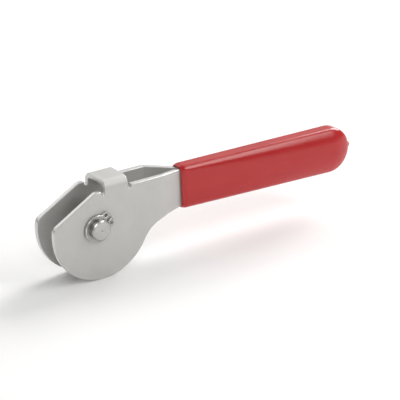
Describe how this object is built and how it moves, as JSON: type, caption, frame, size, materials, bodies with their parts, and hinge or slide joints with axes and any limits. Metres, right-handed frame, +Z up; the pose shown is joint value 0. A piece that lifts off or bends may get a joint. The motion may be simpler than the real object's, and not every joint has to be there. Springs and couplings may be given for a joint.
{
  "type": "manual can opener",
  "caption": "Hand can opener: folded steel fork head with round plates, small cutter wheel on an axle pin held by retaining rings, dip-moulded red grip.",
  "frame": {"origin": "centre of the bounding box in X and Y, at the height of the lowest point of the round head plates", "axes": "+X from the head to the grip, +Y across the plates away from the side with the visible ring, +Z up towards the bridge"},
  "size_m": [0.1768, 0.0252, 0.0474],
  "materials": {
    "stainless_sheet": "satin, tumbled edges",
    "red_vinyl": "satin gloss, dip-moulded",
    "turned_steel": "turned",
    "spring_steel": "phosphated, worn bright at the rim",
    "hardened_steel": "ground",
    "bush_bronze": "sintered, oiled"
  },
  "bodies": {
    "head": {"head_yoke": "stainless_sheet", "handle_grip": "red_vinyl"},
    "axle": {"axle_pin": "turned_steel", "retaining_ring_front": "spring_steel", "retaining_ring_rear": "spring_steel", "spacer_sleeve_front": "turned_steel", "spacer_sleeve_rear": "turned_steel"},
    "wheel": {"cutter_wheel": "hardened_steel", "wheel_bush_front": "bush_bronze", "wheel_bush_rear": "bush_bronze"}
  },
  "joints": [
    {"name": "axle_turn", "type": "hinge", "parent": "head", "child": "axle", "pos_m": [-0.06545, 0, 0.026], "axis": [0, 1, 0], "continuous": true},
    {"name": "wheel_turn", "type": "hinge", "parent": "axle", "child": "wheel", "pos_m": [-0.06545, 0, 0.026], "axis": [0, 1, 0], "continuous": true}
  ]
}
